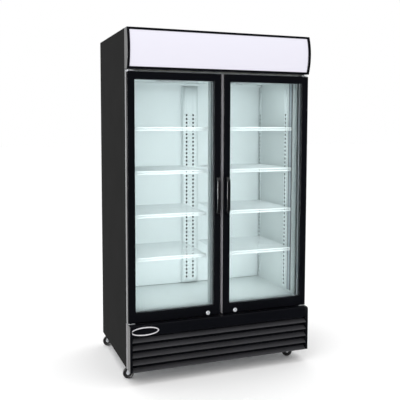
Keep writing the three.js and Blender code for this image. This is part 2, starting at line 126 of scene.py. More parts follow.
def world():
    """White all round, but dim where a shiny front would mirror it."""
    made = bpy.data.worlds.new("studio")
    bpy.context.scene.world = made
    made.use_nodes = True
    nodes, links = made.node_tree.nodes, made.node_tree.links
    sky = nodes["Background"]
    toward = nodes.new("ShaderNodeSeparateXYZ")
    links.new(nodes.new("ShaderNodeTexCoord").outputs["Generated"], toward.inputs[0])

    def ramp(source, start, stop, low, high):
        made_ramp = nodes.new("ShaderNodeMapRange")
        made_ramp.inputs["From Min"].default_value = start
        made_ramp.inputs["From Max"].default_value = stop
        made_ramp.inputs["To Min"].default_value = low
        made_ramp.inputs["To Max"].default_value = high
        links.new(source, made_ramp.inputs["Value"])
        return made_ramp.outputs["Result"]

    def choose(ray, other, mirrored):
        made_mix = nodes.new("ShaderNodeMix")
        links.new(path.outputs[ray], made_mix.inputs["Factor"])
        for value, socket in ((other, made_mix.inputs["A"]), (mirrored, made_mix.inputs["B"])):
            if isinstance(value, float):
                socket.default_value = value
            else:
                links.new(value, socket)
        return made_mix.outputs["Result"]

    behind = ramp(toward.outputs["Y"], -0.1, 0.5, 0.02, 1.15)
    above = ramp(toward.outputs["Z"], 0.45, 0.85, 0.0, 0.75)
    both = nodes.new("ShaderNodeMath")
    both.operation = "MAXIMUM"
    links.new(behind, both.inputs[0])
    links.new(above, both.inputs[1])
    path = nodes.new("ShaderNodeLightPath")
    seen = choose("Is Glossy Ray", 1.0, both.outputs["Value"])
    links.new(choose("Is Diffuse Ray", seen, 1.03), sky.inputs["Strength"])
    sky.inputs["Color"].default_value = (1, 1, 1, 1)


# ---------------------------------------------------------------- finishes
def linear(r, g, b):
    """A colour given as 0 to 255 per channel, as the linear values that shaders take."""

    def one(c):
        c /= 255
        return c / 12.92 if c <= 0.04045 else ((c + 0.055) / 1.055) ** 2.4

    return (one(r), one(g), one(b), 1.0)


def finish(
    name,
    color,
    roughness,
    metallic=0.0,
    specular=0.5,
    mottle=0.10,
    patch=7.0,
    grain=900.0,
    depth=0.03,
    spread=0.14,
    stretch=(1, 1, 1),
    edge_wear_and_sheen=None,
    glow=0.0,
    glow_color=None,
    coat=0.0,
):
    """A surface with uneven colour and sheen and a fine grain; edge_wear_and_sheen gives lighter
    edges, part wear and part painted highlight.
    """
    made = bpy.data.materials.new(name)
    made.use_nodes = True
    nodes, links = made.node_tree.nodes, made.node_tree.links
    shader = nodes["Principled BSDF"]
    spot = nodes.new("ShaderNodeMapping")
    spot.inputs["Scale"].default_value = stretch
    links.new(nodes.new("ShaderNodeTexCoord").outputs["Object"], spot.inputs["Vector"])

    def noise(scale, detail):
        made_noise = nodes.new("ShaderNodeTexNoise")
        made_noise.inputs["Scale"].default_value = scale
        made_noise.inputs["Detail"].default_value = detail
        links.new(spot.outputs["Vector"], made_noise.inputs["Vector"])
        return made_noise.outputs["Fac"]

    def remap(source, low, high):
        mapped = nodes.new("ShaderNodeMapRange")
        mapped.inputs["From Min"].default_value = 0.3
        mapped.inputs["From Max"].default_value = 0.7
        mapped.inputs["To Min"].default_value = low
        mapped.inputs["To Max"].default_value = high
        links.new(source, mapped.inputs["Value"])
        return mapped.outputs["Result"]

    def mix(factor, a, b):
        mixed = nodes.new("ShaderNodeMix")
        mixed.data_type = "RGBA"
        links.new(factor, mixed.inputs["Factor"])
        for value, socket in ((a, mixed.inputs[6]), (b, mixed.inputs[7])):
            if isinstance(value, tuple):
                socket.default_value = value
            else:
                links.new(value, socket)
        return mixed.outputs[2]

    base = linear(*color)
    darker = tuple(c * (1 - mottle) for c in base[:3]) + (1.0,)
    lighter = tuple(min(1.0, c * (1 + mottle)) for c in base[:3]) + (1.0,)
    tone = mix(remap(noise(patch, 5), 0, 1), darker, lighter)
    # Lighter colour along the edges, broken up by noise: partly wear, partly a painted highlight
    # where edges catch light.
    if edge_wear_and_sheen:
        bevel = nodes.new("ShaderNodeBevel")
        bevel.samples = 4
        bevel.inputs["Radius"].default_value = 0.0015
        dot = nodes.new("ShaderNodeVectorMath")
        dot.operation = "DOT_PRODUCT"
        links.new(bevel.outputs["Normal"], dot.inputs[0])
        links.new(nodes.new("ShaderNodeNewGeometry").outputs["Normal"], dot.inputs[1])
        edge = nodes.new("ShaderNodeMapRange")
        edge.inputs["From Min"].default_value = 0.97
        edge.inputs["From Max"].default_value = 0.80
        links.new(dot.outputs["Value"], edge.inputs["Value"])
        wear_and_sheen = nodes.new("ShaderNodeMath")
        wear_and_sheen.operation = "MULTIPLY"
        links.new(edge.outputs["Result"], wear_and_sheen.inputs[0])
        links.new(remap(noise(60, 3), 0, 0.6), wear_and_sheen.inputs[1])
        tone = mix(wear_and_sheen.outputs["Value"], tone, linear(*edge_wear_and_sheen))
    links.new(tone, shader.inputs["Base Color"])
    links.new(
        remap(noise(patch * 2.3, 4), roughness * (1 - spread), min(1, roughness * (1 + spread))),
        shader.inputs["Roughness"],
    )
    bump = nodes.new("ShaderNodeBump")
    bump.inputs["Strength"].default_value = depth
    bump.inputs["Distance"].default_value = 0.001
    links.new(noise(grain, 2), bump.inputs["Height"])
    links.new(bump.outputs["Normal"], shader.inputs["Normal"])
    shader.inputs["Metallic"].default_value = metallic
    shader.inputs["Specular IOR Level"].default_value = specular
    shader.inputs["Coat Weight"].default_value = coat
    if glow:
        shader.inputs["Emission Color"].default_value = linear(*(glow_color or color))
        shader.inputs["Emission Strength"].default_value = glow
    return made


def clear_glass():
    """Clear glass whose sheen varies a little, as on a pane that has been wiped."""
    made = bpy.data.materials.new("clear_glass")
    made.use_nodes = True
    nodes, links = made.node_tree.nodes, made.node_tree.links
    shader = nodes["Principled BSDF"]
    shader.inputs["Base Color"].default_value = linear(250, 253, 253)
    shader.inputs["Transmission Weight"].default_value = 1.0
    shader.inputs["IOR"].default_value = 1.45
    haze = nodes.new("ShaderNodeTexNoise")
    haze.inputs["Scale"].default_value = 5
    links.new(nodes.new("ShaderNodeTexCoord").outputs["Object"], haze.inputs["Vector"])
    smear = nodes.new("ShaderNodeMapRange")
    smear.inputs["To Min"].default_value = 0.0
    smear.inputs["To Max"].default_value = 0.012
    links.new(haze.outputs["Fac"], smear.inputs["Value"])
    links.new(smear.outputs["Result"], shader.inputs["Roughness"])
    return made


def finishes():
    zinc = {"metallic": 0.2, "mottle": 0.12, "patch": 30, "grain": 500, "depth": 0.05}
    return {
        "black_paint": finish(
            "black_paint", (23, 23, 23), 0.75, specular=0.04, mottle=0.04, patch=2.5,
            spread=0.02, grain=1400, depth=0.08,
        ),
        # Black gloss whose edges are lightened: partly wear, partly a painted highlight.
        "black_gloss": finish(
            "black_gloss", (12, 13, 17), 0.18, specular=0.14, mottle=0.12, patch=4,
            grain=260, depth=0.01, edge_wear_and_sheen=(40, 40, 44),
        ),
        "handle_gloss": finish(
            "handle_gloss", (14, 14, 17), 0.24, specular=0.5, mottle=0.1, patch=9, grain=300,
            depth=0.02, coat=0.5,
        ),
        # The grille's black paint made lighter: painted light on the louver slopes, which face up
        # into the light.
        "grille_paint": finish(
            "grille_paint", (60, 60, 63), 0.36, specular=0.4, patch=5, grain=1100,
            depth=0.05,
        ),
        "door_edge": finish(
            "door_edge", (205, 203, 207), 0.42, specular=0.4, mottle=0.05, patch=9,
            grain=700, depth=0.04,
        ),
        # Mid grey: the LED channels' own colour; on the strips at the outer front corners it is a
        # painted highlight of the corners catching light.
        "trim_grey": finish(
            "trim_grey", (118, 117, 120), 0.42, specular=0.4, mottle=0.06, patch=9,
            grain=700, depth=0.04,
        ),
        "spacer_grey": finish(
            "spacer_grey", (60, 61, 66), 0.4, specular=0.3, mottle=0.08, patch=20,
        ),
        "white_liner": finish(
            "white_liner", (209, 215, 215), 0.38, specular=0.4, mottle=0.02, patch=3,
            grain=420, depth=0.04,
        ),
        "white_steel": finish(
            "white_steel", (234, 240, 241), 0.32, specular=0.4, mottle=0.02, patch=3,
            grain=1200, depth=0.04,
        ),
        "white_wire": finish("white_wire", (234, 238, 239), 0.25, mottle=0.03, patch=25, grain=600),
        "light_panel": finish(
            "light_panel", (152, 151, 158), 0.4, specular=0.2, mottle=0.005, patch=2, grain=300,
            depth=0.01, glow=0.56, glow_color=(241, 239, 251),
        ),
        "led": finish("led", (168, 177, 184), 0.4, mottle=0.03, patch=40),
        "grey_steel": finish(
            "grey_steel", (166, 169, 172), 0.42, metallic=0.5, mottle=0.07, patch=55,
            grain=240, depth=0.08,
        ),
        "zinc": finish("zinc", (212, 215, 219), 0.28, **zinc),
        "foam": finish("foam", (221, 197, 138), 0.9, mottle=0.12, patch=40, grain=700, depth=0.4),
        "seal_rubber": finish("seal_rubber", (40, 41, 43), 0.62, patch=20, grain=700, depth=0.1),
        "wheel_rubber": finish("wheel_rubber", (24, 24, 25), 0.5, patch=30, grain=500, depth=0.12),
        "aluminium": finish(
            "aluminium", (204, 206, 209), 0.33, metallic=0.5, patch=12, grain=220,
            depth=0.06, stretch=(1, 1, 9),
        ),
        "compressor_paint": finish(
            "compressor_paint", (26, 26, 28), 0.38, mottle=0.2, patch=14, grain=380, depth=0.12,
        ),
        "copper": finish("copper", (198, 124, 86), 0.3, metallic=1.0, mottle=0.2, patch=30),
        "shadow": finish(
            "shadow", (34, 40, 42), 0.8, specular=0.1, mottle=0.2, patch=20, depth=0.05,
        ),
        "glass": clear_glass(),
    }


# ---------------------------------------------------------------- shapes
def merged(*parts):
    """Several parts, each (points, faces), as one."""
    points, faces = [], []
    for more_points, more_faces in parts:
        start = len(points)
        points += more_points
        faces += [tuple(start + i for i in face) for face in more_faces]
    return points, faces


def moved(part, matrix):
    points, faces = part
    return [tuple(matrix @ Vector(p)) for p in points], faces


def shifted(part, x=0, y=0, z=0):
    return moved(part, Matrix.Translation((x, y, z)))


def rings(loops, wrap=False):
    """Skins equal loops of points one after the other; wrap joins the last to the first."""
    count = len(loops[0])
    points = [tuple(p) for loop in loops for p in loop]
    faces = []
    spans = len(loops) if wrap else len(loops) - 1
    for i in range(spans):
        a, b = i * count, (i + 1) % len(loops) * count
        for k in range(count):
            n = (k + 1) % count
            faces.append((a + k, a + n, b + n, b + k))
    if not wrap:
        faces.append(tuple(range(count)))
        faces.append(tuple(range(len(points) - count, len(points))))
    return points, faces


def prism(axis, outline, start, stop):
    """An outline drawn across an axis, drawn out along it."""
    order = {
        "x": lambda u, v, w: (w, u, v),
        "y": lambda u, v, w: (u, w, v),
        "z": lambda u, v, w: (u, v, w),
    }[axis]
    return rings([[order(u, v, w) for u, v in outline] for w in (start, stop)])


def box(x, y, z):
    """A block; each of x, y and z is (low, high)."""
    outline = [(x[0], y[0]), (x[1], y[0]), (x[1], y[1]), (x[0], y[1])]
    return prism("z", outline, *z)


def lathe(profile, steps=48, axis="z", at=(0, 0, 0)):
    """Turns a profile of (radius, height) round an axis; radius 0 closes it."""
    points, faces, previous = [], [], None
    for radius, height in profile:
        start = len(points)
        if radius < 1e-6:
            points.append((0, 0, height))
            current = [start] * steps
        else:
            for k in range(steps):
                a = 2 * math.pi * k / steps
                points.append((radius * math.cos(a), radius * math.sin(a), height))
            current = list(range(start, start + steps))
        if previous:
            for k in range(steps):
                n = (k + 1) % steps
                corner = [previous[k], previous[n], current[n], current[k]]
                faces.append(tuple(dict.fromkeys(corner)))
        previous = current
    turn = {
        "z": Matrix.Identity(4),
        "y": Matrix.Rotation(math.radians(-90), 4, "X"),
        "x": Matrix.Rotation(math.radians(90), 4, "Y"),
    }[axis]
    return moved((points, faces), Matrix.Translation(at) @ turn)


def torus_profile(radius, tube_radius, height=0.0, sides=10):
    """The profile that lathe() turns into a wire ring."""
    turns = [2 * math.pi * i / sides for i in range(sides + 1)]
    return [(radius + tube_radius * math.cos(a), height + tube_radius * math.sin(a)) for a in turns]


def tube(path, radius, sides=8):
    """A round wire along a path of points."""
    path = [Vector(p) for p in path]
    side = None
    loops = []
    for i, p in enumerate(path):
        ahead = path[min(i + 1, len(path) - 1)] - path[max(i - 1, 0)]
        ahead.normalize()
        if side is None:
            side = ahead.orthogonal().normalized()
        side = (side - ahead * side.dot(ahead)).normalized()
        up = ahead.cross(side)
        turns = [2 * math.pi * k / sides for k in range(sides)]
        loops.append([p + radius * (math.cos(a) * side + math.sin(a) * up) for a in turns])
    return rings(loops)


def arc(centre, radius, start, stop, steps):
    angles = [math.radians(start + (stop - start) * i / steps) for i in range(steps + 1)]
    return [(centre[0] + radius * math.cos(a), centre[1] + radius * math.sin(a)) for a in angles]


def rounded(x, z, radius, steps=5):
    """A rectangle with round corners."""
    inset = [
        ((x[1] - radius, z[0] + radius), -90),
        ((x[1] - radius, z[1] - radius), 0),
        ((x[0] + radius, z[1] - radius), 90),
        ((x[0] + radius, z[0] + radius), 180),
    ]
    outline = []
    for centre, start in inset:
        outline += arc(centre, radius, start, start + 90, steps)
    return outline


def border(x, z, sections):
    """A frame round a rectangle.

    Each section is ((outset at low x, high x, low z, high z), depth Y).
    """
    loops = []
    for grow, y in sections:
        x0, x1, z0, z1 = x[0] - grow[0], x[1] + grow[1], z[0] - grow[2], z[1] + grow[3]
        loops.append([(x0, y, z0), (x1, y, z0), (x1, y, z1), (x0, y, z1)])
    return rings(loops, wrap=True)


def even(grow):
    """The same outset on all four sides of a border."""
    return (grow, grow, grow, grow)


def screw(at, axis="y", radius=4.0, height=2.2):
    """A pan head with a round socket, its top at the low end of the axis."""
    profile = [
        (0, -height * 0.5), (radius * 0.42, -height * 0.5), (radius * 0.46, -height),
        (radius * 0.7, -height * 0.95), (radius * 0.93, -height * 0.6), (radius, 0), (0, 0),
    ]
    return lathe(profile, 20, axis, at)


FINISH = finishes()
SLOTS = {m["slot"] for m in frame["record"]["materials"]}


def piece(
    name,
    part,
    look,
    body,
    bevel=0.0,
    segments=2,
    stands_for=(),
    slot=None,
    angle=38,
    thick=0,
):
    """Makes a piece in the row frame, smooth but for its sharp edges, riding on a body.

    bevel and thick are in millimetres; stands_for names the CAD nodes that the piece replaces.
    """
    points, faces = part
    mesh = bpy.data.meshes.new(name)
    mesh.from_pydata([TO_ROW @ Vector(p) for p in points], [], faces)
    tidy = bmesh.new()
    tidy.from_mesh(mesh)
    bmesh.ops.recalc_face_normals(tidy, faces=tidy.faces)
    tidy.to_mesh(mesh)
    tidy.free()
    mesh.shade_smooth()
    mesh.set_sharp_from_angle(angle=math.radians(angle))
    mesh.materials.append(FINISH[look])
    made = bpy.data.objects.new(name, mesh)
    bpy.context.scene.collection.objects.link(made)
    if thick:
        sheet = made.modifiers.new("sheet", "SOLIDIFY")
        sheet.thickness = thick / 1000
        sheet.offset = -1
    if bevel:
        soften(made, bevel, segments)
    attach(made, body)
    slot = slot or (look if look in SLOTS else None)
    if stands_for:
        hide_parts(*stands_for)
    return made


def soften(made, width, segments=2):
    edge = made.modifiers.new("edge", "BEVEL")
    edge.width = width / 1000
    edge.segments = segments
    edge.limit_method = "ANGLE"
    edge.angle_limit = math.radians(38)
    edge.harden_normals = True
    edge.use_clamp_overlap = True


def dress(node, look, bevel=0.0):
    """A CAD node kept as it is, with a real finish and, where asked, softened edges."""
    made = frame["nodes"][node]
    for held in made.material_slots:
        held.material = FINISH[look]
    if bevel:
        weld = made.modifiers.new("weld", "WELD")
        weld.merge_threshold = 0.00001
        soften(made, bevel)


# ---------------------------------------------------------------- outer case
def case():
    for side, _ in SIDES:
        dress(f"{side}_side_panel", "black_paint", 0.7)
    dress("top_panel", "black_paint", 0.5)
    dress("rear_cover", "black_paint", 0.4)
    dress("back_panel", "grey_steel", 0.4)
    dress("base_frame", "grey_steel", 0.4)
    dress("foam_insulation", "foam")
    dress("inner_liner", "white_liner", 0.6)
    dress("face_frame", "white_liner", 0.6)
    dress("center_mullion", "white_liner", 1.0)
    dress("rear_duct_panel", "white_steel", 0.5)
    dress("evaporator_cover", "white_steel", 0.4)
    dress("light_switch", "black_gloss", 0.8)
    dress("canopy_lamp", "led", 1.5)

    rows = [(x, z) for x in (-525, -300, 0, 300, 525) for z in (300, 1880)]
    rows += [(x, z) for x in (-525, 525) for z in (700, 1100, 1500)]
    heads = [screw((x, BACK_FACE, z), "y", 4.5, 2.4) for x, z in rows]
    face_back = Matrix.Scale(-1, 4, (0, 1, 0))
    flip = Matrix.Translation((0, 2 * BACK_FACE - 0.2, 0)) @ face_back
    piece("back_panel_screws", moved(merged(*heads), flip), "zinc", "cabinet")
    heads = [screw((x, BACK_FACE, z)) for x in (-530, -220, 0, 220, 530) for z in (18, 256)]
    piece("rear_cover_screws", moved(merged(*heads), flip), "zinc", "cabinet")
    profile = [(0, 0), (15, 0), (15, 3), (11, 4), (9.5, 5), (6, 5), (5.5, 1), (0, 1)]
    gland = lathe(profile, 32, "y", (450, BACK_FACE - 0.5, 40))
    piece("mains_gland", gland, "seal_rubber", "cabinet")


# ---------------------------------------------------------------- light box
def canopy_curve(radius, half, steps=40):
    """The bowed front of the light box as (Y, Z), half of its height to each side."""
    middle_z = (CANOPY["bottom"] + CANOPY["top"]) / 2
    middle_y = CANOPY["peak"] + CANOPY["radius"]
    reach = math.asin(half / radius)
    turns = [-reach + 2 * reach * i / steps for i in range(steps + 1)]
    return [(middle_y - radius * math.cos(a), middle_z + radius * math.sin(a)) for a in turns]


def canopy():
    dress("canopy_housing", "black_gloss", 0.5)
    bottom, top, cap = CANOPY["bottom"], CANOPY["top"], CANOPY["cap"]
    front = canopy_curve(CANOPY["radius"], 109)
    back = canopy_curve(CANOPY["radius"] - 3, 108)[::-1]
    inner = HALF - cap - 0.6
    piece(
        "sign_face", prism("x", front + back, -inner, inner), "light_panel", "cabinet",
        0.6, stands_for=("canopy_sign_panel",),
    )
    half = (top - bottom) / 2
    outline = [(-0.6, bottom), *canopy_curve(CANOPY["radius"] + 7, half), (-0.6, top)]
    for side, sign in SIDES:
        piece(
            f"end_cap_{side}", prism("x", outline, sign * HALF, sign * (HALF - cap)),
            "black_gloss", "cabinet", 2.2, 4, stands_for=(f"canopy_end_cap_{side}",),
        )
    heads = [screw((x, 14, top - 2.2), "z", 3.6, 2) for x in (-520, -260, 0, 260, 520)]
    flip = Matrix.Translation((0, 0, 2 * top - 4.4)) @ Matrix.Scale(-1, 4, (0, 0, 1))
    piece("top_screws", moved(merged(*heads), flip), "zinc", "cabinet")


# ---------------------------------------------------------------- machine bay
def grille():
    bottom, top, face, cheek = (GRILLE[k] for k in ("bottom", "top", "face", "cheek"))
    back = -0.6
    outline = [(back, bottom), (face, bottom), (face, top - 12), (face + 8, top), (back, top)]
    cheeks = [prism("x", outline, sign * HALF, sign * (HALF - cheek)) for _, sign in SIDES]
    piece(
        "grille_cheeks", merged(*cheeks), "black_gloss", "cabinet", 2.0, 3,
        stands_for=("front_grille",),
    )
    # Grey strips on the cheeks' rear halves: a painted highlight where the side panels' front
    # corners catch light.
    corner_highlight_strips = [
        box((sign * HALF, sign * (HALF + 0.3)), (-34, -1), (bottom, top - 1))
        for _, sign in SIDES
    ]
    piece("grille_corner_highlight_strips", merged(*corner_highlight_strips), "trim_grey", "cabinet", slot="aluminium")
    reach = HALF - cheek
    band = [
        (back, top), (face + 8.4, top), (face + 0.8, top - 12), (face + 0.8, top - 58),
        (face + 9, top - 66), (face + 11, top - 65), (face + 2.8, top - 57),
        (face + 2.8, top - 13), (face + 9.4, top - 2), (back, top - 2),
    ]
    piece("grille_band", prism("x", band, -reach, reach), "black_gloss", "cabinet", 0.9, 3)
    for i in range(GRILLE["fins"]):
        z = bottom + GRILLE["pitch"] * i
        fin = [
            (face, z), (face + 2, z), (face + 2, z + 3), (face + 25, z + 17), (face + 30, z + 17),
            (face + 30, z + 19), (face + 24, z + 19), (face, z + 4.4),
        ]
        # The louver slopes take the lighter grille_paint: painted light where they face up into the
        # light.
        piece(
            f"grille_louver_{i + 1}", prism("x", fin, -reach, reach), "grille_paint",
            "cabinet", 0.8, 3,
        )
        back_edge = box((-reach, reach), (face + 29.4, face + 31.4), (z + 17, z + 39))
        piece(f"grille_return_{i + 1}", back_edge, "black_gloss", "cabinet", 0.4)
    oval_plate(face)


def oval_plate(face):
    """A plain oval plate: a bright rim round a black field."""

    def oval(inset, y):
        half_x, half_z = PLATE["half_x"] - inset, PLATE["half_z"] - inset
        turns = [2 * math.pi * i / 72 for i in range(72)]
        return [
            (PLATE["x"] + half_x * math.cos(a), y, PLATE["z"] + half_z * math.sin(a))
            for a in turns
        ]

    near, far, rim = face, face + 1.4, PLATE["rim"]
    ring = [oval(0, near), oval(0, far), oval(rim, far), oval(rim, near)]
    piece("plate_rim", rings(ring, wrap=True), "door_edge", "cabinet", 0.3, slot="aluminium")
    field = rings([oval(rim - 0.1, face + 0.5), oval(rim - 0.1, far)])
    piece("plate_field", field, "black_gloss", "cabinet")


def compressor():
    x, y, z = COMPRESSOR
    pot = [(0, 14), (70, 14), (78, 17), (83, 24), (84, 30), (84, 92), (86.5, 94), (86.5, 100)]
    pot += [(84, 102), (84, 142)]
    pot += [(84 * math.cos(a), 142 + 50 * math.sin(a)) for a in (0.3, 0.6, 0.9, 1.2, 1.45)]
    pot += [(0, 192)]
    piece(
        "compressor_shell", lathe(pot, 64, "z", (x, y, z)), "compressor_paint", "cabinet",
        stands_for=("compressor",),
    )
    tray = prism("z", rounded((x - 112, x + 112), (y - 80, y + 80), 12), z + 10, z + 13)
    piece("compressor_tray", tray, "grey_steel", "cabinet", 0.6)
    grommet = [(0, 0), (12, 0), (12, 4), (9, 5.5), (12, 7), (12, 10), (0, 10)]
    stud = [(0, 13), (8, 13), (8, 16), (4, 18), (0, 18)]
    feet = []
    for dx in (-95, 95):
        for dy in (-65, 65):
            feet.append(lathe(grommet, 24, "z", (x + dx, y + dy, z)))
            feet.append(lathe(stud, 24, "z", (x + dx, y + dy, z)))
    piece("compressor_feet", merged(*feet), "seal_rubber", "cabinet")
    cover = prism("z", rounded((x + 86, x + 128), (y - 32, y + 32), 8), z + 60, z + 130)
    piece("compressor_terminal_box", cover, "black_gloss", "cabinet", 2, 3)
    pipes = [
        [(x - 40, y - 70, z + 130), (x - 60, y - 110, z + 140), (x - 60, y - 200, z + 120),
         (-150, 150, 110), (-60, 70, 80), (-44, 56, 60)],
        [(x + 30, y + 74, z + 120), (x + 60, y + 120, z + 150), (x + 160, y + 150, z + 200),
         (-120, 560, 230), (-60, 590, 262)],
    ]
    for i, route in enumerate(pipes):
        piece(f"copper_pipe_{i + 1}", tube(smooth_path(route), 4.2, 12), "copper", "cabinet")
    drier = [(0, 0), (5, 0), (13, 10), (13, 90), (5, 100), (0, 100)]
    piece("filter_drier", lathe(drier, 32, "x", (-30, 300, 60)), "copper", "cabinet")


def smooth_path(points, steps=6):
    """Points on a smooth curve through the given ones."""
    points = [Vector(p) for p in points]
    padded = [2 * points[0] - points[1], *points, 2 * points[-1] - points[-2]]
    found = []
    for i in range(1, len(padded) - 2):
        a, b, c, d = padded[i - 1 : i + 3]
        for k in range(steps):
            t = k / steps
            found.append(
                0.5 * ((2 * b) + (c - a) * t + (2 * a - 5 * b + 4 * c - d) * t * t
                       + (3 * b - a - 3 * c + d) * t**3)
            )
    found.append(points[-1])
    return found


def coil(name, x, y, z, fins, node):
    """Thin fins across the block x, y, z, with tubes through them."""
    pitch = (x[1] - x[0]) / fins
    plates = [box((x[0] + pitch * i, x[0] + pitch * i + 0.8), y, z) for i in range(fins)]
    piece(f"{name}_fins", merged(*plates), "aluminium", "cabinet", stands_for=(node,))
    tubes = []
    rows = max(2, int((z[1] - z[0]) / 38))
    for i in range(rows):
        height = z[0] + (i + 0.5) * (z[1] - z[0]) / rows
        for depth in (0.3, 0.7):
            at = y[0] + depth * (y[1] - y[0])
            tubes.append(tube([(x[0] - 14, at, height), (x[1] + 14, at, height)], 4.8, 12))
    piece(f"{name}_tubes", merged(*tubes), "copper", "cabinet")


def machine_bay():
    grille()
    compressor()
    coil("condenser", (-40, 340), (20, 90), (16, 240), 95, "condenser_coil")
    coil("evaporator", (-420, 420), (350, 484), (1712, 1832), 140, "evaporator_coil")
    dress("condenser_fan", "black_gloss", 0.5)
    x, y, z = CONDENSER_FAN
    shroud = lathe(
        [(97, -34), (112, -34), (112, -31), (100, -31), (100, 20), (97, 20), (97, -34)], 64, "y",
        (x, y, z),
    )
    piece("condenser_shroud", shroud, "black_paint", "cabinet")
    motor = lathe([(0, 22), (32, 22), (36, 26), (36, 78), (30, 84), (0, 84)], 40, "y", (x, y, z))
    piece("condenser_motor", motor, "compressor_paint", "cabinet")
    arms = []
    for i in range(4):
        a = math.radians(45 + 90 * i)
        inner = (x + 34 * math.cos(a), y + 60, z + 34 * math.sin(a))
        outer = (x + 104 * math.cos(a), y + 18, z + 104 * math.sin(a))
        arms.append(tube([inner, outer], 3, 10))
    piece("condenser_motor_arms", merged(*arms), "zinc", "cabinet")


# ---------------------------------------------------------------- cold room
def perforated(x_edges, z_edges, y, is_hole):
    """A flat sheet in X and Z whose cells are left out where is_hole says so."""
    points = [(x, y, z) for z in z_edges for x in x_edges]
    across = len(x_edges)
    faces = []
    for row in range(len(z_edges) - 1):
        for column in range(across - 1):
            if not is_hole(column, row):
                a = row * across + column
                faces.append((a, a + 1, a + 1 + across, a + across))
    used = sorted({i for face in faces for i in face})
    renumbered = {old: new for new, old in enumerate(used)}
    return [points[i] for i in used], [tuple(renumbered[i] for i in f) for f in faces]


def hole_rows(bottom, top):
    """Edges of a tall strip whose every second band, from the first hole up, holds the holes."""
    edges = [bottom]
    z = HOLES["bottom"]
    while z + HOLES["height"] < HOLES["top"]:
        edges += [z, z + HOLES["height"]]
        z += HOLES["pitch"]
    return [*edges, top]


def pilasters():
    left, right, bottom, top = (PILASTER[k] for k in ("left", "right", "bottom", "top"))
    rows = hole_rows(bottom, top)
    x_edges = [left, -30.5, -19.5, 14.5, 25.5, right]
    front = perforated(x_edges, rows, 506, lambda c, r: c in (1, 3) and r % 2 == 1)
    piece(
        "pilaster_face", front, "white_steel", "cabinet", thick=PILASTER["wall"],
        stands_for=("center_pilaster",),
    )
    sides = [
        box((left, left + PILASTER["wall"]), (507.5, 524.6), (bottom, top)),
        box((right - PILASTER["wall"], right), (507.5, 524.6), (bottom, top)),
    ]
    piece("pilaster_sides", merged(*sides), "white_steel", "cabinet")
    piece("pilaster_shade", box((-40, 34), (513, 514), (340, 1480)), "shadow", "cabinet")
    wall_strips()


def wall_strips():
    """Narrow pilasters on the side walls, drawn along X and turned to face the cold room."""
    half, wall, bottom, top = (WALL_STRIP[k] for k in ("half", "wall", "bottom", "top"))
    turn = {
        sign: Matrix.Translation((sign * (LINER_X - 3.6), 0, 0))
        @ Matrix.Rotation(sign * math.pi / 2, 4, "Z")
        for _, sign in SIDES
    }
    rows = hole_rows(bottom, top)
    for side, sign in SIDES:
        for place in ("front", "rear"):
            u = sign * WALL_STRIP[place]
            edges = [u - half, u - 8, u + 8, u + half]
            strip = perforated(edges, rows, 0, lambda c, r: c == 1 and r % 2 == 1)
            piece(
                f"wall_pilaster_{place}_{side}", moved(strip, turn[sign]), "white_steel",
                "cabinet", thick=wall,
            )
            returns = [
                box((u + e, u + e + wall), (-3.2, -0.2), (bottom, top))
                for e in (-half, half - wall)
            ]
            piece(
                f"wall_pilaster_{place}_{side}_returns", moved(merged(*returns), turn[sign]),
                "white_steel", "cabinet",
            )
            shade = box((u - half + 2, u + half - 2), (-3.0, -2.4), (bottom + 1, top - 1))
            piece(
                f"wall_pilaster_{place}_{side}_shade", moved(shade, turn[sign]), "shadow",
                "cabinet",
            )


def shelf_part():
    """A wire shelf round X = 0 with its top at Z = 0; its wires turn down over a double lip."""
    half = SHELF["width"] / 2
    front, back = SHELF["front"], SHELF["back"]
    wire, rod = 1.9, 2.7
    under = -2 * wire - rod
    count, margin = 35, 10
    wires = []
    for i in range(count):
        x = -half + margin + (2 * half - 2 * margin) * i / (count - 1)
        path = [(x, back - 2, -wire), (x, front + 6, -wire), (x, front + 2.6, -wire - 1.2)]
        path += [(x, front + 1.6, -wire - 4), (x, front + 1.6, -21.6)]
        wires.append(tube(path, wire, 6))
    for y, z, r in (
        (front + 7, -4.2, 4.0), (front + 7, -18.2, 4.4), (200, under, rod), (345, under, rod),
        (back - 4, under, rod),
    ):
        wires.append(tube([(-half, y, z), (half, y, z)], r, 12))
    for sign in (-1, 1):
        x = sign * (half - rod)
        wires.append(tube([(x, front + 6, under), (x, back - 4, under)], rod, 10))
        wires.append(tube([(x, front + 6, under), (x, front + 6, -18.2)], rod, 10))
    return merged(*wires)


def shelves():
    shelf = shelf_part()
    for side, sign in SIDES:
        for i, top in enumerate(SHELF_TOPS):
            piece(
                f"wire_shelf_{side}_{i + 1}", shifted(shelf, sign * SHELF["x"], 0, top),
                "white_wire", "cabinet", stands_for=(f"shelf_{side}_{i + 1}",),
            )
            wall = sign * (LINER_X - 3.8)
            hook, tip = wall - sign * 15, wall - sign * 17
            outline = [(wall, top - 9), (hook, top - 9), (hook, top - 5.6)]
            outline += [(tip, top - 5.6), (tip, top - 11), (wall, top - 20)]
            clips = [prism("y", outline, y - 7, y + 7) for y in CLIP_DEPTHS]
            piece(f"shelf_clips_{side}_{i + 1}", merged(*clips), "zinc", "cabinet", 0.4)


